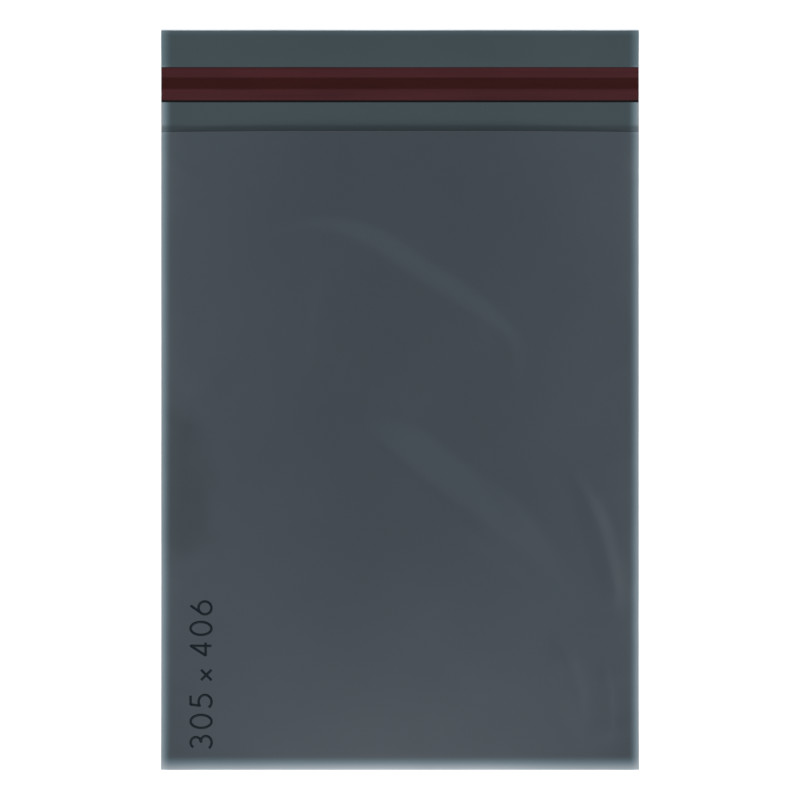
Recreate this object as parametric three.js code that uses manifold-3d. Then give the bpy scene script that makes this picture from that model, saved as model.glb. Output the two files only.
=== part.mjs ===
// A plastic mailing bag for a 12 x 16 inch parcel, lying on its back with a little air in it.
//
// One web of polythene film is folded across the bottom, so that a back layer and a front layer lie
// face to face, and both side edges are welded through. The back layer runs on past the mouth as a
// closing lip. A stripe of hot-melt adhesive crosses the lip, under a release liner that peels off.
//
// Frame: millimetres, +Z up out of the front layer, +Y from the bottom fold towards the lip, origin at
// the middle of the bag's length and width, on the surface it lies on.

import * as THREE from "three";
import { mergeVertices } from "three/addons/utils/BufferGeometryUtils.js";
import Module from "manifold-3d";

// The bag's outline.
const WIDTH = 304.8; // 12 inches, over the side welds
const POCKET_LENGTH = 407; // bottom fold to mouth
const LIP_LENGTH = 64.7; // the back layer's length past the mouth
// One layer of film, a binary fraction so that layers which touch share one exact plane.
const FILM = 1 / 16;

// The joined edges of the pocket.
const WELD = 1.5; // width of each side weld
const CREASE = 0.75; // width of the pressed bottom fold
const SHOULDER = 6; // from a joined edge, the front layer rises quickly over this distance

// How far the trapped air lifts the front layer off the back one.
const EDGE_LIFT = 2; // just inside the shoulders
const CROWN_LIFT = 4.5; // further, in the middle
const LABEL_WIDTH = 120; // the flat top of the crown, where an address label goes
const LABEL_LENGTH = 200;
const MOUTH_FADE = 400; // from the middle, the crown would fade out this far past the open mouth

// The closing stripe, measured from the lip's free edge.
const ADHESIVE_CENTRE = 34;
const ADHESIVE_WIDTH = 7.5;
const ADHESIVE_THICK = 1 / 16;
const LINER_CENTRE = 34.6;
const LINER_WIDTH = 22.4;
const LINER_THICK = 1 / 32;
const LINER_CLEAR = 1 / 64; // under the liner's free margins
const LINER_STEP = 0.8; // width of the slope from the margins up onto the adhesive

// Spacing of the mesh lines over the broad, nearly flat parts.
const LINE_SPACING = 20;

// Places worked out from those sizes.
const SIDE = WIDTH / 2;
const LENGTH = POCKET_LENGTH + LIP_LENGTH;
const LIP_EDGE = LENGTH / 2;
const BOTTOM_EDGE = -LENGTH / 2;
const MOUTH = BOTTOM_EDGE + POCKET_LENGTH;
const POCKET_MIDDLE = (BOTTOM_EDGE + MOUTH) / 2;

const wasm = await Module();
wasm.setup();

// ---- Stations: the x or y values that a layer's mesh lines run along -----------------------------

// Even steps from a to b, without b.
function evenSteps(a, b) {
  const steps = Math.max(1, Math.round(Math.abs(b - a) / LINE_SPACING));
  return Array.from({ length: steps }, (_, i) => a + ((b - a) * i) / steps);
}

// Distances in from a joined edge: the edge, the end of its solid band and the curve of its shoulder.
function shoulderSteps(band) {
  const curve = [0.1, 0.22, 0.38, 0.6, 1].map((share) => band + share * SHOULDER);
  return [0, band, ...curve];
}

const weldSteps = shoulderSteps(WELD);
const foldSteps = shoulderSteps(CREASE);
const shoulderEnd = SIDE - weldSteps.at(-1);
const stationsX = [
  ...weldSteps.map((d) => -SIDE + d).slice(0, -1),
  ...evenSteps(-shoulderEnd, -LABEL_WIDTH / 2),
  ...evenSteps(-LABEL_WIDTH / 2, LABEL_WIDTH / 2),
  ...evenSteps(LABEL_WIDTH / 2, shoulderEnd),
  ...weldSteps.map((d) => SIDE - d).reverse(),
];
const stationsY = [
  ...foldSteps.map((d) => BOTTOM_EDGE + d).slice(0, -1),
  ...evenSteps(BOTTOM_EDGE + foldSteps.at(-1), POCKET_MIDDLE - LABEL_LENGTH / 2),
  ...evenSteps(POCKET_MIDDLE - LABEL_LENGTH / 2, POCKET_MIDDLE + LABEL_LENGTH / 2),
  ...evenSteps(POCKET_MIDDLE + LABEL_LENGTH / 2, MOUTH),
  MOUTH,
];

// ---- The front layer's rise ----------------------------------------------------------------------

// 0 on a joined edge's solid band, then a rounded rise to 1 at the end of the shoulder.
function shoulder(distance, band) {
  const along = THREE.MathUtils.clamp((distance - band) / SHOULDER, 0, 1);
  return Math.sin((along * Math.PI) / 2);
}

// 1 over the label area, easing to 0 at the limit. It stays high as far as the mouth.
function crown(x, y) {
  const limitY = y > POCKET_MIDDLE ? MOUTH_FADE : POCKET_LENGTH / 2;
  const across = THREE.MathUtils.smoothstep(Math.abs(x), LABEL_WIDTH / 2, SIDE);
  const along = THREE.MathUtils.smoothstep(Math.abs(y - POCKET_MIDDLE), LABEL_LENGTH / 2, limitY);
  return (1 - across) * (1 - along);
}

// The air gap between the two layers at a point of the pocket.
function airGap(x, y) {
  const edges = shoulder(SIDE - Math.abs(x), WELD) * shoulder(y - BOTTOM_EDGE, CREASE);
  return edges * (EDGE_LIFT + CROWN_LIFT * crown(x, y));
}

// ---- Solids --------------------------------------------------------------------------------------

// A closed slab between two heights, its mesh lines on the given stations.
function slab(xs, ys, low, high) {
  const geometry = new THREE.BoxGeometry(1, 1, 1, xs.length - 1, ys.length - 1, 1);
  const position = geometry.attributes.position;
  for (let i = 0; i < position.count; i += 1) {
    const x = xs[Math.round((position.getX(i) + 0.5) * (xs.length - 1))];
    const y = ys[Math.round((position.getY(i) + 0.5) * (ys.length - 1))];
    const height = position.getZ(i) < 0 ? low : high;
    position.setXYZ(i, x, y, height(x, y));
  }
  return geometry;
}

function solidOf(geometry) {
  const bare = geometry.clone();
  bare.deleteAttribute("normal");
  bare.deleteAttribute("uv");
  const merged = mergeVertices(bare, 1e-4);
  return new wasm.Manifold(
    new wasm.Mesh({
      numProp: 3,
      vertProperties: merged.attributes.position.array,
      triVerts: new Uint32Array(merged.index.array),
    }),
  );
}

function geometryOf(solid) {
  const mesh = solid.getMesh();
  const geometry = new THREE.BufferGeometry();
  geometry.setAttribute("position", new THREE.BufferAttribute(mesh.vertProperties, 3));
  geometry.setIndex(new THREE.BufferAttribute(mesh.triVerts, 1));
  geometry.computeVertexNormals();
  return geometry;
}

// The folded and welded film: the pocket's outer form, less the air inside, plus the lip.
function filmGeometry() {
  const onFloor = () => 0;
  const outerForm = slab(stationsX, stationsY, onFloor, (x, y) => 2 * FILM + airGap(x, y));

  // The air meets the back layer's inside below and the front layer's inside above. At the welds and
  // the fold it starts at the height where the two layers part.
  const insideX = stationsX.filter((x) => Math.abs(x) <= SIDE - WELD + 1e-6);
  const insideY = stationsY.filter((y) => y >= BOTTOM_EDGE + CREASE - 1e-6);
  const parting = FILM / 4;
  const backInside = () => FILM;
  const air = slab(insideX, [...insideY, MOUTH + 1], backInside, (x, y) =>
    Math.max(FILM + parting, FILM + airGap(x, Math.min(y, MOUTH))),
  );

  const lipY = [MOUTH, LIP_EDGE];
  const lip = slab([-SIDE, SIDE], lipY, onFloor, () => FILM);
  return geometryOf(solidOf(outerForm).subtract(solidOf(air)).add(solidOf(lip)));
}

// A strip of constant section that crosses the lip from weld to weld. The outline is in y and z.
function strip(outline) {
  const section = new THREE.Shape(outline.map(([y, z]) => new THREE.Vector2(y, z)));
  const geometry = new THREE.ExtrudeGeometry(section, { depth: WIDTH, bevelEnabled: false });
  // The extrusion runs along z: turn its section upright, so that it runs along x.
  const upright = new THREE.Matrix4().set(0, 0, 1, -SIDE, 1, 0, 0, 0, 0, 1, 0, 0, 0, 0, 0, 1);
  return geometry.applyMatrix4(upright);
}

function adhesiveGeometry() {
  const centre = LIP_EDGE - ADHESIVE_CENTRE;
  const low = centre - ADHESIVE_WIDTH / 2;
  const high = centre + ADHESIVE_WIDTH / 2;
  const top = FILM + ADHESIVE_THICK;
  return strip([[low, FILM], [high, FILM], [high, top], [low, top]]);
}

// The liner lies on the adhesive and steps down towards the lip on both sides of it.
function linerGeometry() {
  const centre = LIP_EDGE - LINER_CENTRE;
  const adhesive = LIP_EDGE - ADHESIVE_CENTRE;
  const margin = FILM + LINER_CLEAR;
  const raised = FILM + ADHESIVE_THICK;
  const underside = [
    [centre - LINER_WIDTH / 2, margin],
    [adhesive - ADHESIVE_WIDTH / 2 - LINER_STEP, margin],
    [adhesive - ADHESIVE_WIDTH / 2, raised],
    [adhesive + ADHESIVE_WIDTH / 2, raised],
    [adhesive + ADHESIVE_WIDTH / 2 + LINER_STEP, margin],
    [centre + LINER_WIDTH / 2, margin],
  ];
  const topside = underside.map(([y, z]) => [y, z + LINER_THICK]).reverse();
  return strip([...underside, ...topside]);
}

// ---- The bag -------------------------------------------------------------------------------------

function piece(name, geometry, color, roughness) {
  const material = new THREE.MeshStandardMaterial({ color, roughness, metalness: 0 });
  const mesh = new THREE.Mesh(geometry, material);
  mesh.name = name;
  return mesh;
}

const bag = new THREE.Group();
bag.add(
  piece("bag_film", filmGeometry(), 0x444d54, 0.35),
  piece("adhesive_stripe", adhesiveGeometry(), 0x2e1b18, 0.6),
  piece("release_liner", linerGeometry(), 0x472528, 0.3),
);

export default bag;
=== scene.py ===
"""A plastic mailing bag, lying on its back with a little air in it.

One web of slate grey film is folded across the bottom and welded along both sides. The back layer runs
on past the mouth as a closing lip, which carries a stripe of adhesive under a dark red release liner.
"""

import math

import bpy
import numpy as np
from bpy.props import FloatProperty, FloatVectorProperty, IntProperty, PointerProperty
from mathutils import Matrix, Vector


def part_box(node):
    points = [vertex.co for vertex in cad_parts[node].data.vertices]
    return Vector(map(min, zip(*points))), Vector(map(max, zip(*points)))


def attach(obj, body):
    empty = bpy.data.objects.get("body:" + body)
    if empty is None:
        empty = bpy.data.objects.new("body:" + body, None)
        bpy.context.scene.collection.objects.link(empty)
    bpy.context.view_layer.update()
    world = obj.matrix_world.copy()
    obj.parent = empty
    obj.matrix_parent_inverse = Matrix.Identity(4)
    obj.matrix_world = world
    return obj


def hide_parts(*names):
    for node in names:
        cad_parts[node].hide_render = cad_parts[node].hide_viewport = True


bl_info = {
    "name": "Mailing Bag",
    "version": (1, 0, 0),
    "blender": (4, 5, 0),
    "location": "View3D > Sidebar > Mailing Bag",
    "description": "Builds a film mailing bag with a closing lip, its adhesive stripe and release liner",
    "category": "Mesh",
}

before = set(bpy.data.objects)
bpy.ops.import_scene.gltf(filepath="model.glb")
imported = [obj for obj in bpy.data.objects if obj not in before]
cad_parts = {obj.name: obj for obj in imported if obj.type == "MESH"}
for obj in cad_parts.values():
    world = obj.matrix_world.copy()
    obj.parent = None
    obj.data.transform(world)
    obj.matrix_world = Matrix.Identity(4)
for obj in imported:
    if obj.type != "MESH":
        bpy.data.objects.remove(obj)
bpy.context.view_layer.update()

MM = 0.001
MICRON = 1e-6

# The bag's outline, from the frame.
FILM_LOW, FILM_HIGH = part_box("bag_film")
STRIPE_LOW, STRIPE_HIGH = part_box("adhesive_stripe")
LINER_LOW, LINER_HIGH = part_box("release_liner")
SIDE = FILM_HIGH.x
LIP_EDGE = FILM_HIGH.y
BOTTOM = FILM_LOW.y
LIP_LENGTH = 64.7 * MM
MOUTH = LIP_EDGE - LIP_LENGTH
POCKET_MIDDLE = (BOTTOM + MOUTH) / 2

SIZE_UNIT = {"subtype": "DISTANCE", "unit": "LENGTH"}


# ---- Properties ----------------------------------------------------------------------------------


def size(name, description, default):
    """A length, kept in metres and shown in the scene's units."""
    return FloatProperty(name=name, description=description, default=default, precision=5, **SIZE_UNIT)


def colour(name, description, default):
    return FloatVectorProperty(
        name=name, description=description, default=default, subtype="COLOR", size=3, min=0, max=1
    )


def fraction(name, description, default):
    return FloatProperty(name=name, description=description, default=default, min=0, max=1, subtype="FACTOR")


class FilmSettings(bpy.types.PropertyGroup):
    """The web of film: its gauge, its joined edges and the air in the pocket"""

    thickness: size("Thickness", "Gauge of the film", 62.5 * MICRON)
    weld: size("Weld", "Width of each welded side edge", 1.5 * MM)
    shoulder: size("Shoulder", "How quickly the front layer rises from a joined edge", 3.2 * MM)
    fold_gap: size("Fold gap", "Height of the rounded bottom fold", 0.5 * MM)
    edge_lift: size("Edge lift", "Air gap just inside the shoulders", 0.2 * MM)
    crown_lift: size("Crown lift", "Further air gap in the middle of the pocket", 4.8 * MM)
    mouth_lift: size("Mouth lift", "Air gap in the middle of the open mouth", 5.0 * MM)
    spacing: size("Mesh spacing", "Distance between the mesh lines of the broad areas", 2.3 * MM)
    seed: IntProperty(name="Seed", description="Seed of the uneven puckers and waves", default=7)
    tone: colour("Film colour", "Colour of the film", (0.0222, 0.0262, 0.0307))
    inside_tone: colour("Inner colour", "Colour of the film's inner face", (0.0218, 0.0303, 0.032))
    # The edge colour is partly the stretched film's own and partly a painted highlight.
    haze_and_highlight_tone: colour("Edge colour", "Colour of the stretched film at the joined edges", (0.29, 0.318, 0.335))
    faint_tone: colour("Faint edge colour", "Colour where the edge band fades out", (0.2204, 0.3371, 0.3953))
    haze_and_highlight_width: size("Edge haze", "Width of the paler band along the joined edges", 6.6 * MM)
    roughness: fraction("Roughness", "Roughness of the film", 0.286)


class LinerSettings(bpy.types.PropertyGroup):
    """The release liner"""

    ripple: size("Ripple", "How far the liner's margins stand off the lip", 0.25 * MM)
    step: size("Step", "Width of the slope up onto the adhesive", 0.8 * MM)
    tone: colour("Liner colour", "Colour of the release liner", (0.0325, 0.0062, 0.0068))
    wet_tone: colour("Wetted colour", "Colour where the liner lies on the adhesive", (0.0163, 0.001, 0.0004))
    roughness: fraction("Roughness", "Roughness of the liner", 0.3)


class WeldSettings(bpy.types.PropertyGroup):
    """The beads along the side welds"""

    bead: size("Bead", "Radius of the melted bead along each side", 0.13 * MM)
    wobble: size("Wobble", "How far the bead wanders", 0.06 * MM)
    tone: colour("Bead colour", "Colour of the melted film", (0.2, 0.24, 0.27))
    seed: IntProperty(name="Seed", description="Seed of the bead's uneven width", default=3)


class AdhesiveSettings(bpy.types.PropertyGroup):
    """The adhesive stripe"""

    tone: colour("Adhesive colour", "Colour of the hot melt", (0.03, 0.012, 0.01))
    roughness: fraction("Roughness", "Roughness of the hot melt", 0.25)


class PrintSettings(bpy.types.PropertyGroup):
    """The printed size"""

    height: size("Digit height", "Height of the printed digits", 13.4 * MM)
    stroke: size("Stroke", "Width of the printed strokes", 1.6 * MM)
    gap: size("Gap", "Between neighbouring digits", 4.8 * MM)
    margin: size("Margin", "From the left edge to the feet of the digits", 32.2 * MM)
    start: size("Start", "From the bottom fold to the first digit", 13.5 * MM)
    tone: colour("Ink colour", "Colour of the printed digits", (0.0015, 0.0045, 0.006))


class StageSettings(bpy.types.PropertyGroup):
    """The floor, the soft lights and the camera"""

    view_width: size("View width", "Width of the camera's view at the bag", 510.8 * MM)
    lens: FloatProperty(name="Lens", description="Focal length of the camera", default=100, unit="CAMERA")
    floor_tone: colour("Floor colour", "Colour of the floor", (0.8, 0.8, 0.8))
    light_distance: size("Light distance", "From the bag to each soft light", 2.4)
    light_size: size("Light size", "Width of each soft light", 1.55)
    light_tilt: FloatProperty(
        name="Light tilt",
        description="Angle of each soft light from straight up",
        default=math.radians(47),
        subtype="ANGLE",
    )
    light_power: FloatProperty(name="Light power", description="Power of one light", default=24, unit="POWER")


# ---- Nodes ---------------------------------------------------------------------------------------


class Value:
    """A number that a node gives, so that node maths is written as Python expressions."""

    def __init__(self, nodes, socket):
        self.nodes = nodes
        self.socket = socket

    def maths(self, operation, *values):
        inputs = dict(enumerate(values))
        return self.nodes.add("ShaderNodeMath", {"operation": operation}, inputs)

    def __add__(self, other):
        return self.maths("ADD", self, other)

    def __sub__(self, other):
        return self.maths("SUBTRACT", self, other)

    def __mul__(self, other):
        return self.maths("MULTIPLY", self, other)

    def __truediv__(self, other):
        return self.maths("DIVIDE", self, other)

    def __pow__(self, other):
        return self.maths("POWER", self, other)

    def __radd__(self, other):
        return self.maths("ADD", other, self)

    def __rsub__(self, other):
        return self.maths("SUBTRACT", other, self)

    def __rmul__(self, other):
        return self.maths("MULTIPLY", other, self)

    def __rtruediv__(self, other):
        return self.maths("DIVIDE", other, self)

    def __abs__(self):
        return self.maths("ABSOLUTE", self)

    def least(self, other):
        return self.maths("MINIMUM", self, other)

    def most(self, other):
        return self.maths("MAXIMUM", self, other)

    def ramp(self, start, end, low=0.0, high=1.0, smooth=False):
        """Goes from low to high as this goes from start to end, and stays there outside."""
        settings = {"clamp": True, "interpolation_type": "SMOOTHSTEP" if smooth else "LINEAR"}
        inputs = {"Value": self, "From Min": start, "From Max": end, "To Min": low, "To Max": high}
        return self.nodes.add("ShaderNodeMapRange", settings, inputs)


class Nodes:
    """Adds nodes to one tree."""

    def __init__(self, tree):
        self.tree = tree

    def node(self, kind, settings=None, inputs=None):
        node = self.tree.nodes.new(kind)
        for name, setting in (settings or {}).items():
            setattr(node, name, setting)
        for name, value in (inputs or {}).items():
            socket = node.inputs[name] if isinstance(name, int) else find_socket(node.inputs, name)
            if isinstance(value, Value):
                self.tree.links.new(value.socket, socket)
            else:
                socket.default_value = value
        return node

    def add(self, kind, settings=None, inputs=None, out=0):
        node = self.node(kind, settings, inputs)
        socket = node.outputs[out] if isinstance(out, int) else find_socket(node.outputs, out)
        return Value(self, socket)

    def split(self, vector):
        node = self.node("ShaderNodeSeparateXYZ", None, {0: vector})
        return [Value(self, socket) for socket in node.outputs]

    def vector(self, x, y, z):
        return self.add("ShaderNodeCombineXYZ", None, {0: x, 1: y, 2: z})

    def mix(self, factor, a, b):
        """Colour a where factor is 0 and colour b where it is 1."""
        settings = {"data_type": "RGBA"}
        inputs = {"Factor_Float": factor, "A_Color": rgba(a), "B_Color": rgba(b)}
        return self.add("ShaderNodeMix", settings, inputs, out="Result_Color")

    def join(self, parts):
        """Several geometries as one."""
        node = self.node("GeometryNodeJoinGeometry")
        for part in parts:
            self.tree.links.new(part.socket, node.inputs[0])
        return Value(self, node.outputs[0])

    def noise(self, place, scale, detail=2.0, roughness=0.5):
        inputs = {"Vector": place, "Scale": scale, "Detail": detail, "Roughness": roughness}
        return self.add("ShaderNodeTexNoise", None, inputs)


def find_socket(sockets, name):
    """The first socket of that identifier or, failing that, of that name."""
    for socket in sockets:
        if socket.identifier == name:
            return socket
    return sockets[name]


def rgba(tone):
    return tone if isinstance(tone, Value) else (*tone, 1.0)


def scaled(tone, factor):
    """A lighter or darker tone."""
    return [factor * part for part in tone]


def new_surface(name, specular=0.5, roughness=0.5):
    """A new material with its nodes, its shader and its object coordinates."""
    material = bpy.data.materials.new(name)
    material.use_nodes = True
    material.node_tree.nodes.clear()
    nodes = Nodes(material.node_tree)
    finish = {"Roughness": roughness, "Specular IOR Level": specular}
    shader = nodes.node("ShaderNodeBsdfPrincipled", None, finish)
    output = nodes.node("ShaderNodeOutputMaterial")
    nodes.tree.links.new(shader.outputs[0], output.inputs[0])
    place = nodes.add("ShaderNodeTexCoord", None, None, out="Object")
    return material, nodes, shader, place


def feed(nodes, shader, **inputs):
    """Links values to the shader's inputs, whose names are written with underscores."""
    for name, value in inputs.items():
        nodes.tree.links.new(value.socket, shader.inputs[name.replace("_", " ").title()])


def bump(nodes, height, depth):
    """A normal from a height between 0 and 1, depth metres high."""
    inputs = {"Height": height, "Strength": 1.0, "Distance": depth}
    return nodes.add("ShaderNodeBump", None, inputs)


# ---- Materials -----------------------------------------------------------------------------------

# The darkest tones: a ragged darker patch near the left edge, a painted shadow on the lip just past the
# mouth, and a painted shadow line along the liner's edges.
DARK_PATCH_TONE = (0.003, 0.004, 0.005)
MOUTH_SHADOW_TONE = (0.002, 0.003, 0.003)
LINER_EDGE_SHADOW_TONE = (0.002, 0.0005, 0.0005)


def edge_haze_and_highlight(nodes, x, y, settings):
    """How pale the film is along the side welds, the bottom fold and the lip's free edge: partly stretched
    film, partly a painted highlight.
    The side bands are a little broader on the lip, and fainter past the liner."""
    on_lip = y.ramp(MOUTH - 2 * MM, MOUTH)
    past_liner = y.ramp(LINER_HIGH.y - 2 * MM, LINER_HIGH.y + 2 * MM, 1.0, 0.45)
    sides = (SIDE - abs(x)).ramp(0.0, settings.haze_and_highlight_width, 1.0, 0.0) ** (2.1 - 0.6 * on_lip)
    sides = sides * past_liner * 0.54
    fold = (y - BOTTOM).ramp(0.0, 1.35 * settings.haze_and_highlight_width, 1.0, 0.0) ** 1.75
    free_edge = (LIP_EDGE - y).ramp(0.0, 3 * MM, 0.08, 0.0)
    haze_and_highlight = 1.0 - (1.0 - sides) * (1.0 - fold * 0.66) * (1.0 - free_edge)
    uneven = nodes.noise(nodes.vector(x * 20.0, y * 20.0, 0.0), 1.0)
    return haze_and_highlight * (0.85 + 0.3 * uneven)


def dark_left_patch(nodes, place, x, y):
    """1 in a ragged patch near the left edge, where the film's colour is made darker."""
    stray = (nodes.noise(place, 36.0, 3.0) - 0.5) * (40 * MM)
    left_part = (x + stray).ramp(-112 * MM, -132 * MM)
    above_foot = (y + stray).ramp(-104 * MM, -86 * MM)
    below_slant = (y - stray + x + 140 * MM).ramp(6 * MM, -14 * MM)
    return left_part * above_foot * below_slant


def film_material(name, tone, settings):
    """Blown film: faint streaks and mottling, pale edges that are partly stretched film and partly a painted
    highlight, and a painted shadow on the lip just past the mouth.
    """
    material, nodes, shader, place = new_surface(name)
    x, y, _ = nodes.split(place)
    mottle = nodes.noise(place, 14.0, 3.0)
    speckle = nodes.noise(place, 420.0, 2.0)
    streaks = nodes.noise(nodes.vector(x * 2.0, y * 380.0, 0.0), 1.0, 3.0, 0.6)
    crinkle = nodes.noise(place, 130.0, 3.0, 0.55)
    haze_and_highlight = edge_haze_and_highlight(nodes, x, y, settings)
    past_mouth = y - MOUTH
    # Painted shadow: the lip is darkened just past the mouth, where the raised front layer would shade it.
    painted_mouth_shadow = past_mouth.ramp(-0.2 * MM, 0.0) * past_mouth.ramp(2.6 * MM, 5.4 * MM, 0.46, 0.0, smooth=True)

    shade = (mottle.ramp(0.3, 0.7) + 0.1 * (streaks - 0.5) + 0.25 * (speckle - 0.5)).ramp(0.0, 1.0)
    base = nodes.mix(shade, scaled(tone, 0.985), scaled(tone, 1.03))
    # A ragged patch near the left edge is made darker.
    base = nodes.mix(0.3 * dark_left_patch(nodes, place, x, y), base, DARK_PATCH_TONE)
    # Painted highlight mixed with stretch whitening: the pale band along the edges.
    band = nodes.mix(haze_and_highlight.ramp(0.08, 0.45), settings.faint_tone, settings.haze_and_highlight_tone)
    base = nodes.mix(haze_and_highlight, base, band)
    base = nodes.mix(painted_mouth_shadow, base, MOUTH_SHADOW_TONE)
    roughness = settings.roughness + 0.03 * (mottle - 0.5) + 0.1 * haze_and_highlight
    height = 0.94 * crinkle + 0.01 * streaks + 0.05 * speckle
    feed(nodes, shader, base_color=base, roughness=roughness, normal=bump(nodes, height, 26 * MICRON))
    return material


def liner_material(settings):
    """Dark red release film, darker over the adhesive, with a painted shadow line along its edges."""
    material, nodes, shader, place = new_surface("liner_red", specular=0.12)
    x, y, _ = nodes.split(place)
    from_stripe = nodes.noise(nodes.vector(x * 12.0, 0.0, 0.0), 1.0, 2.0)
    stripe_middle = (STRIPE_LOW.y + STRIPE_HIGH.y) / 2
    stripe_half = (STRIPE_HIGH.y - STRIPE_LOW.y) / 2
    off_middle = abs(y - stripe_middle - 0.35 * MM + (from_stripe - 0.5) * (0.6 * MM))
    wet = off_middle.ramp(stripe_half - 0.5 * MM, stripe_half + 0.6 * MM, 1.0, 0.0)
    # Painted shadow: a dark line along the liner's lower edge and a fainter one along its upper edge, where
    # the lifted edges would shade the lip.
    low_edge_shadow = (y - LINER_LOW.y).ramp(1.1 * MM, 1.7 * MM, 1.0, 0.0)
    high_edge_shadow = (LINER_HIGH.y - y).ramp(0.3 * MM, 0.8 * MM, 0.5, 0.0)
    streaks = nodes.noise(nodes.vector(x * 4.0, y * 900.0, 0.0), 1.0, 3.0, 0.6)
    patches = nodes.noise(nodes.vector(x * 16.0, y * 90.0, 0.0), 1.0, 2.0)

    shade = (0.5 * streaks + 0.5 * patches).ramp(0.25, 0.75)
    dry = nodes.mix(shade, scaled(settings.tone, 0.8), scaled(settings.tone, 1.35))
    wetted = nodes.mix(patches, settings.wet_tone, scaled(settings.wet_tone, 1.4))
    base = nodes.mix(wet, dry, wetted)
    base = nodes.mix(low_edge_shadow.most(high_edge_shadow) * 0.97, base, LINER_EDGE_SHADOW_TONE)
    roughness = settings.roughness + 0.06 * (streaks - 0.5) + 0.02 * wet
    height = 0.6 * streaks + 0.4 * nodes.noise(place, 260.0, 2.0)
    feed(nodes, shader, base_color=base, roughness=roughness, normal=bump(nodes, height, 15 * MICRON))
    return material


def adhesive_material(settings):
    """Smooth tacky hot melt with small bubbles."""
    material, nodes, shader, place = new_surface("hot_melt")
    cloudy = nodes.noise(place, 160.0, 3.0)
    bubbles = nodes.add("ShaderNodeTexVoronoi", None, {"Vector": place, "Scale": 700.0})
    base = nodes.mix(cloudy, settings.tone, scaled(settings.tone, 1.6))
    roughness = settings.roughness + 0.1 * cloudy
    height = 0.6 * cloudy + 0.4 * bubbles.ramp(0.0, 0.4)
    feed(nodes, shader, base_color=base, roughness=roughness, normal=bump(nodes, height, 20 * MICRON))
    return material


def bead_material(settings):
    """Film that has melted and drawn up: pale, with a slightly beaded sheen."""
    material, nodes, shader, place = new_surface("weld_bead")
    _, y, _ = nodes.split(place)
    drawn = nodes.noise(nodes.vector(0.0, y * 260.0, 0.0), 1.0, 3.0, 0.6)
    base = nodes.mix(drawn.ramp(0.3, 0.7), scaled(settings.tone, 0.7), settings.tone)
    roughness = 0.3 + 0.15 * drawn
    feed(nodes, shader, base_color=base, roughness=roughness, normal=bump(nodes, drawn, 25 * MICRON))
    return material


def ink_material(settings):
    """Thin dark ink, slightly broken where it did not take on the film."""
    material, nodes, shader, place = new_surface("size_ink", specular=0.08)
    cover = nodes.noise(place, 900.0, 3.0, 0.6)
    base = nodes.mix(cover.ramp(0.35, 0.75), settings.tone, scaled(settings.tone, 1.9))
    roughness = 0.36 + 0.16 * cover
    feed(nodes, shader, base_color=base, roughness=roughness, normal=bump(nodes, cover, 6 * MICRON))
    return material


def floor_material(tone):
    """A plain pale board with a very faint tooth."""
    material, nodes, shader, place = new_surface("pale_floor", specular=0.3, roughness=0.7)
    tooth = nodes.noise(place, 300.0, 2.0)
    cloud = nodes.noise(place, 1.5, 2.0)
    base = nodes.mix(0.7 * cloud + 0.3 * tooth, scaled(tone, 0.985), tone)
    feed(nodes, shader, base_color=base, normal=bump(nodes, tooth, 10 * MICRON))
    return material


# ---- The film's form -----------------------------------------------------------------------------


def smooth(value, low, high):
    """0 up to low, 1 from high, and an even curve between them."""
    t = np.clip((value - low) / (high - low), 0, 1)
    return t * t * (3 - 2 * t)


def curve_through(points, steps=24):
    """A smooth line through given points."""
    points = np.array(points, float)
    ends = np.vstack([2 * points[0] - points[1], points, 2 * points[-1] - points[-2]])
    t = np.linspace(0, 1, steps, endpoint=False)[:, None]
    runs = []
    for a, b, c, d in zip(ends, ends[1:], ends[2:], ends[3:]):
        cubic = 2 * b + (c - a) * t + (2 * a - 5 * b + 4 * c - d) * t**2 + (3 * b - a - 3 * c + d) * t**3
        runs.append(cubic / 2)
    return np.vstack([*runs, points[-1:]])


def facet(share, round_off=0.15):
    """1 at 0 and 0 at 1, straight between them apart from rounded ends: the profile of a flat facet."""
    share = np.clip(share, 0, 1)
    slope = 1 / (1 - round_off)
    start = 1 - slope * share**2 / (2 * round_off)
    end = slope * (1 - share) ** 2 / (2 * round_off)
    straight = 1 - slope * (share - round_off / 2)
    return np.where(share < round_off, start, np.where(share > 1 - round_off, end, straight))


class Crease:
    """A line along which the front layer is creased, through given points in millimetres. It fades in and out
    over the share called fade of its length, at either end."""

    def __init__(self, points, height, fade=0.35):
        self.line = curve_through(points) * MM
        self.height = height * MM
        self.fade = fade

    def rise(self, x, y):
        place = np.stack([x.ravel(), y.ravel()], axis=1)
        tangent = np.gradient(self.line, axis=0)
        away = place[:, None, :] - self.line[None, :, :]
        nearest = np.argmin((away**2).sum(2), axis=1)
        away = away[np.arange(len(place)), nearest]
        along = tangent[nearest]
        to_left = np.sign(along[:, 0] * away[:, 1] - along[:, 1] * away[:, 0]) * np.hypot(*away.T)
        share_along = nearest / (len(self.line) - 1)
        taper = smooth(share_along, 0, self.fade) * smooth(1 - share_along, 0, self.fade)
        return (self.height * taper * self.section(to_left, taper)).reshape(x.shape)


class Ridge(Crease):
    """A narrow ridge. Left and right are the widths of its flanks, seen along it."""

    def __init__(self, points, height, left, right, fade=0.35):
        super().__init__(points, height, fade)
        self.left = left * MM
        self.right = right * MM

    def section(self, to_left, taper):
        width = np.where(to_left > 0, self.left, self.right) * (0.3 + 0.7 * taper)
        return facet(np.abs(to_left) / width)


class Step(Crease):
    """A flat facet to the left of the line, down which the layer steps. Its height dies away on both sides
    over the reach."""

    def __init__(self, points, height, width, reach, fade=0.35):
        super().__init__(points, height, fade)
        self.width = width * MM
        self.reach = reach * MM

    def section(self, to_left, taper):
        width = self.width * (0.4 + 0.6 * taper)
        off = np.clip(np.abs(to_left - width / 2) / self.reach, 0, 1)
        return (facet(to_left / width) - 0.5) * (1 + np.cos(math.pi * off)) / 2


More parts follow.
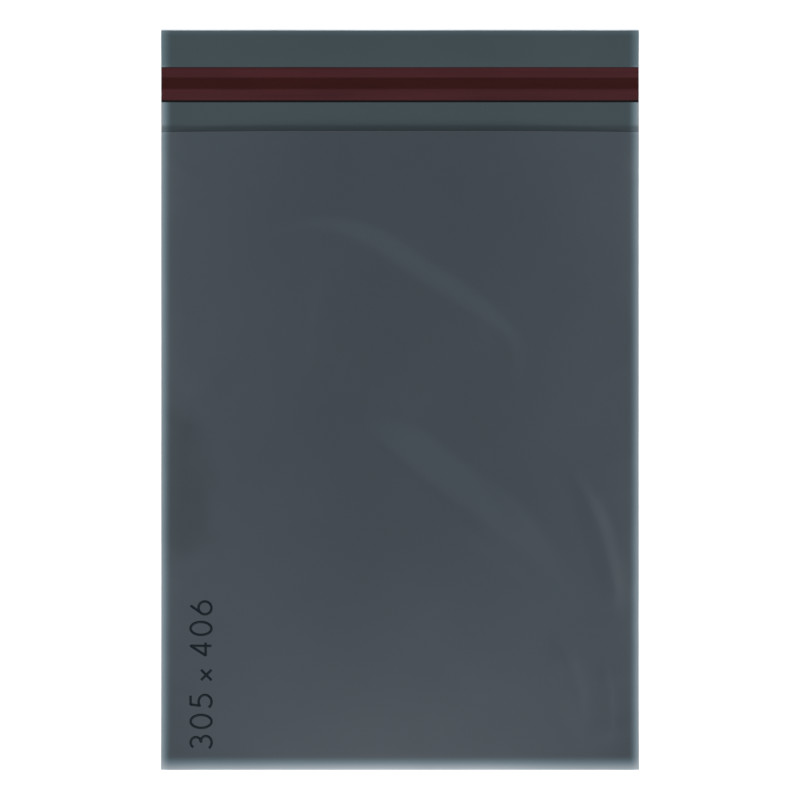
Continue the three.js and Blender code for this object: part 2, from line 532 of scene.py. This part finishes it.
CREASES = [
    # across the upper half, from the left down to the right
    Step([(-104, 98), (-56, 107), (-24, 98), (10, 76), (42, 56), (66, 40), (86, 22)], 1.5, 17, 110, 0.42),
    Ridge([(58, 52), (70, 34), (72, 0)], 0.14, 9, 9),
    # across the lower half, steepest near its head
    Step([(-44, 2), (-10, -32), (26, -62), (62, -88), (124, -138)], 2.3, 31, 220, 0.32),
    Step([(-38, -4), (-14, -29), (12, -52), (42, -74), (74, -97)], 1.1, 29, 100, 0.42),
    Ridge([(30, -72), (56, -91), (88, -120)], 0.2, 6, 7),
    # into the right edge
    Ridge([(103, -36), (120, -66), (130, -94), (136, -120), (138, -146)], 0.6, 10, 11),
    # bottom right corner
    Ridge([(94, -146), (110, -176), (119, -226)], 0.5, 9, 16, 0.4),
    Ridge([(128, -160), (133, -190), (134, -228)], 0.3, 5, 6, 0.4),
    # left edge
    Ridge([(-142, -8), (-126, 6), (-104, 20)], 0.2, 12, 14, 0.4),
    # down from the mouth
    Ridge([(-25, 186), (-24, 156), (-25, 132)], 0.15, 6, 7, 0.4),
    Ridge([(3, 186), (0, 160), (2, 144)], 0.12, 5, 5, 0.4),
]


def waves(x, y, length, seed, count=7):
    """Uneven waves of about that length, between -1 and 1."""
    random = np.random.default_rng(seed)
    total = np.zeros_like(x)
    for _ in range(count):
        turn, phase = random.uniform(0, 2 * math.pi, 2)
        number = 2 * math.pi / (length * random.uniform(0.7, 1.4))
        total += np.sin(number * (x * math.cos(turn) + y * math.sin(turn)) + phase)
    return total / count


def puckers(x, y, settings):
    """Short ridges that run in from the welds, where the stretched edge gathers the film."""
    random = np.random.default_rng(settings.seed)
    total = np.zeros_like(x)
    for side in (-1, 1):
        at = BOTTOM + random.uniform(4, 12) * MM
        while at < MOUTH:
            length = random.uniform(10, 34) * MM
            width = random.uniform(2.5, 6) * MM
            height = random.uniform(0.06, 0.2) * MM
            lean = random.uniform(-0.5, 0.5)
            inward = SIDE - side * x
            off = (y - at - lean * inward) / (width * (1 + 0.6 * inward / length))
            total += height * np.exp(-(off**2)) * np.exp(-((inward / length) ** 2))
            at += random.uniform(9, 26) * MM
    return total


def back_lift(x, y, settings):
    """How far the back layer stands off the floor: at its wavy edges, its corners and along the lip."""
    near_side = np.exp(-((SIDE - np.abs(x)) / (14 * MM)) ** 2)
    wavy = 0.5 + 0.5 * waves(x * 0.15, y, 62 * MM, settings.seed + 1)
    near_bottom = np.exp(-((y - BOTTOM) / (12 * MM)) ** 2)
    corner = near_side * np.exp(-((y - BOTTOM) / (30 * MM)) ** 2)
    lip = smooth(y, LIP_EDGE - 22 * MM, LIP_EDGE + 6 * MM)
    lip_wave = 0.7 + 0.5 * waves(x, y * 0.2, 150 * MM, settings.seed + 2)
    wrinkles = smooth(y, MOUTH - 4 * MM, MOUTH + 4 * MM) * waves(x * 0.06, y, 8 * MM, settings.seed + 5)
    return (
        0.45 * MM * near_side * wavy
        + 0.25 * MM * near_bottom * (0.5 + 0.5 * waves(x, y * 0.1, 90 * MM, settings.seed + 3))
        + 0.8 * MM * corner
        + 1.3 * MM * lip * lip_wave
        + 0.025 * MM * wrinkles
    )


def rise_from(distance, settings):
    """0 at a joined edge, and quickly up to 1."""
    return 1 - np.exp(-np.maximum(distance, 0) / settings.shoulder)


def fall(distance, start, end, power):
    """1 up to start, then ever more steeply down to 0 at end."""
    return 1 - np.clip((distance - start) / (end - start), 0, 1) ** power


def air_gap(x, y, settings):
    """The gap between the two layers."""
    across = fall(np.abs(x), 45 * MM, SIDE, 1.5)
    down = 0.12 + 0.88 * fall(POCKET_MIDDLE - y, 60 * MM, POCKET_MIDDLE - BOTTOM, 1.7)
    body = settings.edge_lift + settings.crown_lift * across * down
    # The open mouth stands up over nearly its whole width.
    at_mouth = smooth(y, MOUTH - 80 * MM, MOUTH)
    mouth_rise = settings.mouth_lift - settings.edge_lift
    mouth = settings.edge_lift + mouth_rise * fall(np.abs(x), 60 * MM, SIDE, 1.6)
    body = body + at_mouth * (mouth - body)
    body = body + sum(crease.rise(x, y) for crease in CREASES) + puckers(x, y, settings)
    body = body + 0.045 * MM * waves(x, y, 48 * MM, settings.seed + 4)
    sides = rise_from(SIDE - np.abs(x) - settings.weld, settings)
    fold = rise_from(y - BOTTOM, settings)
    return sides * (fold * body + (1 - fold) * settings.fold_gap)


def stations(start, end, spacing, edge, fine):
    """Places from start to end, fine within the edge's width at both ends."""
    near = np.geomspace(fine, edge, 9)
    middle = np.linspace(start + edge, end - edge, max(2, round((end - start - 2 * edge) / spacing)))
    return np.concatenate([[start], start + near[:-1], middle, end - near[:-1][::-1], [end]])


def film_web(settings):
    """The web's middle surface as rows of points, from the mouth down the front, round the fold and up
    the back to the lip's free edge."""
    shoulder = 12 * MM
    xs = stations(-SIDE, SIDE, settings.spacing, shoulder, 0.4 * MM)
    front = stations(BOTTOM, MOUTH, settings.spacing, shoulder, 0.3 * MM)[::-1]
    back = stations(BOTTOM, MOUTH, 2.6 * settings.spacing, shoulder, 0.3 * MM)
    lip = stations(MOUTH, LIP_EDGE, settings.spacing, 4 * MM, 0.5 * MM)[1:]
    touching = 1.15 * settings.thickness
    floor = settings.thickness / 2

    def back_rows(ys):
        x, y = np.meshgrid(xs, ys)
        return np.stack([x, y, floor + back_lift(x, y, settings)], axis=2)

    x, y = np.meshgrid(xs, front)
    gap = air_gap(x, y, settings)
    front_rows = np.stack([x, y, floor + back_lift(x, y, settings) + touching + gap], axis=2)
    top, low = front_rows[-1], back_rows(back[:1])[0]
    radius = (top[:, 2] - low[:, 2]) / 2
    turn = np.linspace(math.pi / 2, -math.pi / 2, 9)[1:-1, None]
    fold_rows = np.stack(
        [
            np.broadcast_to(xs, (len(turn), len(xs))),
            BOTTOM - radius * np.cos(turn),
            low[:, 2] + radius + radius * np.sin(turn),
        ],
        axis=2,
    )
    return np.concatenate([front_rows, fold_rows, back_rows(back), back_rows(lip)])


def grid_mesh(name, rows):
    """A mesh of quads over rows of points."""
    count, width = rows.shape[:2]
    index = np.arange(count * width).reshape(count, width)
    quads = np.stack([index[:-1, :-1], index[:-1, 1:], index[1:, 1:], index[1:, :-1]], axis=2)
    mesh = bpy.data.meshes.new(name)
    mesh.from_pydata(rows.reshape(-1, 3), [], quads[:, :, ::-1].reshape(-1, 4).tolist())
    mesh.polygons.foreach_set("use_smooth", np.ones(len(mesh.polygons), bool))
    return mesh


def flatten_rim(mesh, outer):
    """Flat shading on the film's cut edges. The outer shell has the first vertices, and the rim's faces
    are those that have vertices of both shells."""
    corners = np.empty(len(mesh.loops), int)
    mesh.loops.foreach_get("vertex_index", corners)
    inner = (corners.reshape(-1, 4) >= outer).sum(axis=1)
    mesh.polygons.foreach_set("use_smooth", (inner == 0) | (inner == 4))


def place_object(name, data):
    """A new object in the scene, at the origin, unturned and unscaled."""
    thing = bpy.data.objects.new(name, data)
    bpy.context.scene.collection.objects.link(thing)
    return thing


def made_plain(thing):
    """The object with its modifiers' result as its own mesh."""
    evaluated = thing.evaluated_get(bpy.context.evaluated_depsgraph_get())
    mesh = bpy.data.meshes.new_from_object(evaluated)
    name = thing.name
    bpy.data.objects.remove(thing)
    mesh.name = name
    return place_object(name, mesh)


# ---- Geometry Nodes ------------------------------------------------------------------------------


def new_tree(name, inputs):
    """A Geometry Nodes tree with named inputs. Returns its nodes and the inputs' values by name."""
    tree = bpy.data.node_groups.new(name, "GeometryNodeTree")
    tree.interface.new_socket("Geometry", in_out="INPUT", socket_type="NodeSocketGeometry")
    tree.interface.new_socket("Geometry", in_out="OUTPUT", socket_type="NodeSocketGeometry")
    for label, kind in inputs.items():
        tree.interface.new_socket(label, in_out="INPUT", socket_type=kind)
    nodes = Nodes(tree)
    entry = nodes.node("NodeGroupInput")
    values = {socket.name: Value(nodes, socket) for socket in entry.outputs if socket.name}
    return nodes, values


def end_tree(nodes, geometry, material):
    """Ends a tree in Realize Instances and Set Material."""
    geometry = nodes.add("GeometryNodeRealizeInstances", None, {0: geometry})
    geometry = nodes.add("GeometryNodeSetMaterial", None, {"Geometry": geometry, "Material": material})
    exit_node = nodes.node("NodeGroupOutput")
    nodes.tree.links.new(geometry.socket, exit_node.inputs[0])


def lay_on(nodes, geometry, film):
    """Drops each point onto the film: its own z becomes its height over the film's top."""
    own_place = {"transform_space": "ORIGINAL"}
    target = nodes.add("GeometryNodeObjectInfo", own_place, {"Object": film}, out="Geometry")
    x, y, z = nodes.split(nodes.add("GeometryNodeInputPosition"))
    above = nodes.vector(x, y, 50 * MM)
    inputs = {"Target Geometry": target, "Source Position": above, "Ray Direction": (0.0, 0.0, -1.0)}
    inputs["Ray Length"] = 100 * MM
    _, _, ground = nodes.split(nodes.add("GeometryNodeRaycast", None, inputs, out="Hit Position"))
    laid = nodes.vector(x, y, ground + z)
    return nodes.add("GeometryNodeSetPosition", None, {"Geometry": geometry, "Position": laid})


def straight_line(nodes, start, end):
    """A curve with one straight stretch."""
    return nodes.add("GeometryNodeCurvePrimitiveLine", {"mode": "POINTS"}, {"Start": start, "End": end})


def flat_section(nodes, width, height):
    """A rectangle that stands on the line it is swept along."""
    inputs = {"Width": width, "Height": height}
    section = nodes.add("GeometryNodeCurvePrimitiveQuadrilateral", {"mode": "RECTANGLE"}, inputs)
    up = nodes.vector(0.0, height / 2.0, 0.0)
    return nodes.add("GeometryNodeTransform", None, {"Geometry": section, "Translation": up})


def sweep(nodes, curve, section, scale=1.0):
    """A section swept along a curve, with closed ends."""
    inputs = {"Curve": curve, "Profile Curve": section, "Scale": scale, "Fill Caps": True}
    return nodes.add("GeometryNodeCurveToMesh", None, inputs)


def flat_edges(nodes, geometry):
    """Flat shading on the thin edges, so that the broad faces are shaded smoothly right up to them."""
    _, _, up = nodes.split(nodes.add("GeometryNodeInputNormal"))
    edge = nodes.add("FunctionNodeCompare", {"operation": "LESS_THAN"}, {0: abs(up), 1: 0.5})
    inputs = {"Geometry": geometry, "Selection": edge, "Shade Smooth": False}
    return nodes.add("GeometryNodeSetShadeSmooth", None, inputs)


def walled(nodes, surface, thickness):
    """A closed wall of that thickness on a surface."""
    inputs = {"Mesh": surface, "Offset Scale": thickness, "Individual": False}
    raised = nodes.add("GeometryNodeExtrudeMesh", {"mode": "FACES"}, inputs)
    under = nodes.add("GeometryNodeFlipFaces", None, {0: surface})
    both = nodes.join([under, raised])
    return nodes.add("GeometryNodeMergeByDistance", None, {"Geometry": both, "Distance": 0.1 * MICRON})


def liner_tree(material):
    """A strip that steps up over the adhesive, with slightly rippled margins."""
    nodes, given = new_tree(
        "release_liner_strip",
        {
            "Length": "NodeSocketFloat",
            "Width": "NodeSocketFloat",
            "Middle": "NodeSocketFloat",
            "Stripe Middle": "NodeSocketFloat",
            "Stripe Half Width": "NodeSocketFloat",
            "Stripe Height": "NodeSocketFloat",
            "Step": "NodeSocketFloat",
            "Ripple": "NodeSocketFloat",
            "Thickness": "NodeSocketFloat",
            "Film": "NodeSocketObject",
            "Material": "NodeSocketMaterial",
        },
    )
    inputs = {"Size X": given["Length"], "Size Y": given["Width"], "Vertices X": 140, "Vertices Y": 36}
    strip = nodes.add("GeometryNodeMeshGrid", None, inputs)
    x, y, _ = nodes.split(nodes.add("GeometryNodeInputPosition"))
    y = y + given["Middle"]
    off_stripe = abs(y - given["Stripe Middle"]) - given["Stripe Half Width"]
    on_stripe = off_stripe.ramp(0.0, given["Step"], 1.0, 0.0, smooth=True)
    loose = off_stripe.ramp(given["Step"], 7 * MM, 0.0, 1.0)
    wave = nodes.noise(nodes.vector(x * 14.0, y * 26.0, 3.0), 1.0, 2.0)
    stand = given["Ripple"] * loose * wave.ramp(0.35, 0.75)
    clear_of_lip = 0.02 * MM
    z = on_stripe * given["Stripe Height"] + stand + clear_of_lip
    inputs = {"Geometry": strip, "Position": nodes.vector(x, y, z)}
    shaped = nodes.add("GeometryNodeSetPosition", None, inputs)
    laid = lay_on(nodes, shaped, given["Film"])
    closed = walled(nodes, laid, given["Thickness"])
    end_tree(nodes, flat_edges(nodes, closed), material)
    return nodes.tree


def stripe_tree(material):
    """A low stripe with rounded edges, straight across the lip."""
    nodes, given = new_tree(
        "adhesive_stripe",
        {
            "Length": "NodeSocketFloat",
            "Width": "NodeSocketFloat",
            "Height": "NodeSocketFloat",
            "Middle": "NodeSocketFloat",
            "Film": "NodeSocketObject",
            "Material": "NodeSocketMaterial",
        },
    )
    left, right = (nodes.vector(given["Length"] * half, given["Middle"], 0.0) for half in (-0.5, 0.5))
    line = straight_line(nodes, left, right)
    line = nodes.add("GeometryNodeResampleCurve", None, {"Curve": line, "Count": 140})
    section = flat_section(nodes, given["Width"], given["Height"])
    corner = {"Curve": section, "Radius": given["Height"] * 0.45, "Count": 3}
    section = nodes.add("GeometryNodeFilletCurve", {"mode": "POLY"}, corner)
    stripe = sweep(nodes, line, section)
    end_tree(nodes, lay_on(nodes, stripe, given["Film"]), material)
    return nodes.tree


def bead_tree(material):
    """A thin bead of melted film along both sides, of uneven width."""
    nodes, given = new_tree(
        "weld_bead",
        {
            "Side": "NodeSocketFloat",
            "Start": "NodeSocketFloat",
            "End": "NodeSocketFloat",
            "Radius": "NodeSocketFloat",
            "Wobble": "NodeSocketFloat",
            "Seed": "NodeSocketFloat",
            "Film": "NodeSocketObject",
            "Material": "NodeSocketMaterial",
        },
    )
    sides = []
    for side in (-1.0, 1.0):
        x = side * (given["Side"] - 1.2 * given["Radius"])
        start, end = (nodes.vector(x, given[label], 0.0) for label in ("Start", "End"))
        sides.append(straight_line(nodes, start, end))
    lines = nodes.add("GeometryNodeResampleCurve", None, {"Curve": nodes.join(sides), "Count": 500})
    x, y, z = nodes.split(nodes.add("GeometryNodeInputPosition"))
    wander = nodes.noise(nodes.vector(x * 9.0, y * 120.0, given["Seed"]), 1.0, 2.0) - 0.5
    moved = nodes.vector(x + wander * given["Wobble"], y, z)
    lines = nodes.add("GeometryNodeSetPosition", None, {"Geometry": lines, "Position": moved})
    laid = lay_on(nodes, lines, given["Film"])
    swell = nodes.noise(nodes.vector(x * 9.0, y * 210.0, given["Seed"] + 5.0), 1.0, 2.0)
    swell = swell.ramp(0.25, 0.75, 0.7, 1.3)
    inputs = {"Resolution": 8, "Radius": given["Radius"]}
    section = nodes.add("GeometryNodeCurvePrimitiveCircle", {"mode": "RADIUS"}, inputs)
    bead = sweep(nodes, laid, section, swell)
    end_tree(nodes, nodes.add("GeometryNodeSetShadeSmooth", None, {0: bead}), material)
    return nodes.tree


def print_tree(material):
    """Flat strokes of ink along the edges of a drawing, laid on the film."""
    nodes, given = new_tree(
        "printed_strokes",
        {
            "Stroke": "NodeSocketFloat",
            "Ink": "NodeSocketFloat",
            "Step": "NodeSocketFloat",
            "Film": "NodeSocketObject",
            "Material": "NodeSocketMaterial",
        },
    )
    strokes = nodes.add("GeometryNodeMeshToCurve", None, {"Mesh": given["Geometry"]})
    inputs = {"Curve": strokes, "Length": given["Step"]}
    strokes = nodes.add("GeometryNodeResampleCurve", {"mode": "LENGTH"}, inputs)
    strokes = nodes.add("GeometryNodeSetCurveNormal", {"mode": "Z_UP"}, {"Curve": strokes})
    inked = sweep(nodes, strokes, flat_section(nodes, given["Stroke"], given["Ink"]))
    end_tree(nodes, lay_on(nodes, inked, given["Film"]), material)
    return nodes.tree


def run_tree(thing, tree, values):
    """Puts the tree on the object with those inputs, and makes the result its own mesh."""
    modifier = thing.modifiers.new(tree.name, "NODES")
    modifier.node_group = tree
    for item in tree.interface.items_tree:
        if item.name in values:
            modifier[item.identifier] = values[item.name]
    return made_plain(thing)


# ---- The printed size ----------------------------------------------------------------------------


def arc(middle, radii, start, end, steps=14):
    """Points round part of an ellipse, angles in degrees."""
    angles = np.radians(np.linspace(start, end, steps))
    return [(middle[0] + radii[0] * math.cos(a), middle[1] + radii[1] * math.sin(a)) for a in angles]


# Each digit as its strokes, one unit high, its left edge at 0.
DIGIT_WIDTH = 0.62
CROSS_WIDTH = 0.5
SPACE_WIDTH = 0.32
DIGITS = {
    "0": [arc((0.31, 0.5), (0.31, 0.5), 90, 450, 33)],
    "3": [
        arc((0.28, 0.745), (0.26, 0.255), 150, -90),
        arc((0.28, 0.27), (0.31, 0.27), 84, -150, 18),
    ],
    "4": [[(0.46, 0), (0.46, 1), (0, 0.28), (0.62, 0.28)]],
    "5": [[(0.56, 1), (0.14, 1), (0.08, 0.55), *arc((0.27, 0.31), (0.33, 0.31), 126, -146, 18)]],
    "6": [arc((0.31, 0.31), (0.31, 0.31), 90, 450, 25), [(0.42, 1), (0.04, 0.45)]],
    "x": [[(0, 0), (0.5, 0.5)], [(0, 0.5), (0.5, 0)]],
}


def print_strokes(text, settings):
    """The strokes of a line of digits that reads up the bag's left side. Each stroke lies a little higher
    than the last, so that none are level where they cross."""
    strokes, along = [], 0.0
    gap = settings.gap / settings.height
    for letter in text:
        if letter == " ":
            along += SPACE_WIDTH
            continue
        for stroke in DIGITS[letter]:
            lift = (16 + 2 * len(strokes)) * MICRON
            strokes.append([(-v * settings.height, (along + u) * settings.height, lift) for u, v in stroke])
        along += gap + (CROSS_WIDTH if letter == "x" else DIGIT_WIDTH)
    corner = np.array([-SIDE + settings.margin, BOTTOM + settings.start, 0.0])
    return [np.array(stroke) + corner for stroke in strokes]


# ---- Operators -----------------------------------------------------------------------------------


def give_to_bag(piece, slot, *replaced):
    """Attaches the piece to the bag and hides the plain solids that it replaces. The slot is not used."""
    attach(piece, "root")
    if replaced:
        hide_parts(*replaced)


class MAILER_OT_film(bpy.types.Operator):
    """Make the folded and welded web of film"""

    bl_idname = "mailer.film"
    bl_label = "Film"

    def execute(self, context):
        settings = context.scene.mailer_film
        rows = film_web(settings)
        mesh = grid_mesh("mailer_film", rows)
        mesh.materials.append(film_material("film_outside", settings.tone, settings))
        mesh.materials.append(film_material("film_inside", settings.inside_tone, settings))
        film = place_object("mailer_film", mesh)
        wall = film.modifiers.new("wall", "SOLIDIFY")
        wall.thickness = settings.thickness
        wall.offset = 0
        wall.material_offset = 1
        film = made_plain(film)
        flatten_rim(film.data, rows.shape[0] * rows.shape[1])
        give_to_bag(film, "film", "bag_film")
        return {"FINISHED"}


class MAILER_OT_liner(bpy.types.Operator):
    """Make the release liner"""

    bl_idname = "mailer.liner"
    bl_label = "Release liner"

    def execute(self, context):
        settings = context.scene.mailer_liner
        width = LINER_HIGH.y - LINER_LOW.y
        length = 2 * SIDE - 0.1 * MM
        material = liner_material(settings)
        blank = place_object("peel_off_liner", bpy.data.meshes.new("peel_off_liner"))
        liner = run_tree(
            blank,
            liner_tree(material),
            {
                "Length": length,
                "Width": width,
                "Middle": (LINER_LOW.y + LINER_HIGH.y) / 2,
                "Stripe Middle": (STRIPE_LOW.y + STRIPE_HIGH.y) / 2,
                "Stripe Half Width": (STRIPE_HIGH.y - STRIPE_LOW.y) / 2,
                "Stripe Height": STRIPE_HIGH.z - STRIPE_LOW.z + 0.01 * MM,
                "Step": settings.step,
                "Ripple": settings.ripple,
                "Thickness": LINER_HIGH.z - STRIPE_HIGH.z,
                "Film": bpy.data.objects["mailer_film"],
            },
        )
        give_to_bag(liner, "liner", "release_liner")
        return {"FINISHED"}


class MAILER_OT_adhesive(bpy.types.Operator):
    """Make the adhesive stripe under the liner"""

    bl_idname = "mailer.adhesive"
    bl_label = "Adhesive stripe"

    def execute(self, context):
        settings = context.scene.mailer_adhesive
        blank = place_object("hot_melt_stripe", bpy.data.meshes.new("hot_melt_stripe"))
        stripe = run_tree(
            blank,
            stripe_tree(adhesive_material(settings)),
            {
                "Length": 2 * SIDE - 0.2 * MM,
                "Width": STRIPE_HIGH.y - STRIPE_LOW.y,
                "Height": STRIPE_HIGH.z - STRIPE_LOW.z,
                "Middle": (STRIPE_LOW.y + STRIPE_HIGH.y) / 2,
                "Film": bpy.data.objects["mailer_film"],
            },
        )
        give_to_bag(stripe, "adhesive", "adhesive_stripe")
        return {"FINISHED"}


class MAILER_OT_welds(bpy.types.Operator):
    """Make the melted beads along both side welds"""

    bl_idname = "mailer.welds"
    bl_label = "Weld beads"

    def execute(self, context):
        settings = context.scene.mailer_welds
        blank = place_object("side_weld_beads", bpy.data.meshes.new("side_weld_beads"))
        beads = run_tree(
            blank,
            bead_tree(bead_material(settings)),
            {
                "Side": SIDE,
                "Start": BOTTOM + 0.3 * MM,
                "End": MOUTH - 0.1 * MM,
                "Radius": settings.bead,
                "Wobble": settings.wobble,
                "Seed": float(settings.seed),
                "Film": bpy.data.objects["mailer_film"],
            },
        )
        give_to_bag(beads, "film")
        return {"FINISHED"}


class MAILER_OT_print(bpy.types.Operator):
    """Print the bag's size in millimetres up its left side"""

    bl_idname = "mailer.print"
    bl_label = "Printed size"

    def execute(self, context):
        settings = context.scene.mailer_print
        points, edges = [], []
        for stroke in print_strokes("305 x 406", settings):
            edges += [(len(points) + i, len(points) + i + 1) for i in range(len(stroke) - 1)]
            points += stroke.tolist()
        drawing = bpy.data.meshes.new("printed_size")
        drawing.from_pydata(points, edges, [])
        printed = run_tree(
            place_object("printed_size", drawing),
            print_tree(ink_material(settings)),
            {
                "Stroke": settings.stroke,
                "Ink": 12 * MICRON,
                "Step": 0.5 * MM,
                "Film": bpy.data.objects["mailer_film"],
            },
        )
        give_to_bag(printed, "film")
        return {"FINISHED"}


class MAILER_OT_stage(bpy.types.Operator):
    """Make the floor, the soft lights and the camera that looks straight down"""

    bl_idname = "mailer.stage"
    bl_label = "Stage"

    def execute(self, context):
        settings = context.scene.mailer_stage
        make_floor(settings)
        make_lights(settings)
        make_world(context.scene)
        make_camera(context.scene, settings)
        context.scene.view_settings.view_transform = "Standard"
        return {"FINISHED"}


def make_floor(settings):
    """A floor that reaches well past every view."""
    reach = 15.0
    corners = [(-reach, -reach, 0), (reach, -reach, 0), (reach, reach, 0), (-reach, reach, 0)]
    mesh = bpy.data.meshes.new("floor")
    mesh.from_pydata(corners, [], [(0, 1, 2, 3)])
    mesh.materials.append(floor_material(settings.floor_tone))
    place_object("floor", mesh)


def make_lights(settings):
    """Four soft lights round the bag, all turned to it. The front one is smaller and stronger."""
    # name, direction round the bag in degrees, and shares of the size and the power
    lights = [
        ("right", 0, 1.0, 0.85),
        ("back", 90, 1.0, 0.4),
        ("left", 180, 1.0, 0.85),
        ("front", 270, 0.62, 1.9),
    ]
    for name, around, size_share, power_share in lights:
        light = bpy.data.lights.new(f"soft_{name}", "AREA")
        light.shape = "SQUARE"
        light.size = settings.light_size * size_share
        light.energy = settings.light_power * power_share
        thing = place_object(f"soft_{name}", light)
        turn = math.radians(around)
        out = settings.light_distance * math.sin(settings.light_tilt)
        up = settings.light_distance * math.cos(settings.light_tilt)
        thing.location = (out * math.cos(turn), out * math.sin(turn), up)
        thing.rotation_mode = "XYZ"
        thing.rotation_euler = (0, settings.light_tilt, turn)
        thing.visible_camera = False


def make_world(scene):
    """A pale room with a broad bluish ring of light overhead, round a dim middle."""
    world = bpy.data.worlds.new("pale_room")
    world.use_nodes = True
    world.node_tree.nodes.clear()
    nodes = Nodes(world.node_tree)
    _, _, up = nodes.split(nodes.add("ShaderNodeTexCoord", None, None, out="Generated"))
    from_top = (1.0 - up).most(0.0) ** 0.5
    tint = nodes.mix(from_top.ramp(0.3, 0.5), (0.72, 1.0, 1.2), (1.0, 1.0, 1.0))
    ring = from_top.ramp(0.0, 0.25, 0.02, 1.0).least(from_top.ramp(0.4, 0.6, 1.0, 0.42))
    inputs = {"Color": tint, "Strength": ring}
    background = nodes.add("ShaderNodeBackground", None, inputs)
    output = nodes.node("ShaderNodeOutputWorld")
    nodes.tree.links.new(background.socket, output.inputs[0])
    scene.world = world


def make_camera(scene, settings):
    """A camera over the bag's middle, as high as its view's width and its lens ask."""
    data = bpy.data.cameras.new("overhead")
    data.lens = settings.lens
    data.sensor_width = 36
    camera = place_object("overhead", data)
    camera.location = (0, 0, settings.view_width * data.lens / data.sensor_width)
    scene.camera = camera


class MAILER_PT_panel(bpy.types.Panel):
    """The bag's pieces and stage, in the sidebar"""

    bl_label = "Mailing Bag"
    bl_space_type = "VIEW_3D"
    bl_region_type = "UI"
    bl_category = "Mailing Bag"

    def draw(self, context):
        for operator, settings in STEPS:
            box = self.layout.box()
            box.operator(operator.bl_idname)
            group = getattr(context.scene, settings)
            for name in group.__annotations__:
                box.prop(group, name)


# Each operator with the settings that it reads, in the order that they run.
STEPS = [
    (MAILER_OT_film, "mailer_film"),
    (MAILER_OT_adhesive, "mailer_adhesive"),
    (MAILER_OT_liner, "mailer_liner"),
    (MAILER_OT_welds, "mailer_welds"),
    (MAILER_OT_print, "mailer_print"),
    (MAILER_OT_stage, "mailer_stage"),
]
SETTINGS = {
    "mailer_film": FilmSettings,
    "mailer_liner": LinerSettings,
    "mailer_adhesive": AdhesiveSettings,
    "mailer_welds": WeldSettings,
    "mailer_print": PrintSettings,
    "mailer_stage": StageSettings,
}
CLASSES = [*SETTINGS.values(), *(operator for operator, _ in STEPS), MAILER_PT_panel]


def register():
    for cls in CLASSES:
        bpy.utils.register_class(cls)
    for name, group in SETTINGS.items():
        setattr(bpy.types.Scene, name, PointerProperty(type=group))


def unregister():
    for name in SETTINGS:
        delattr(bpy.types.Scene, name)
    for cls in reversed(CLASSES):
        bpy.utils.unregister_class(cls)


def main():
    register()
    bpy.ops.mailer.film()
    bpy.ops.mailer.adhesive()
    bpy.ops.mailer.liner()
    bpy.ops.mailer.welds()
    bpy.ops.mailer.print()
    bpy.ops.mailer.stage()


if __name__ == "__main__":
    main()
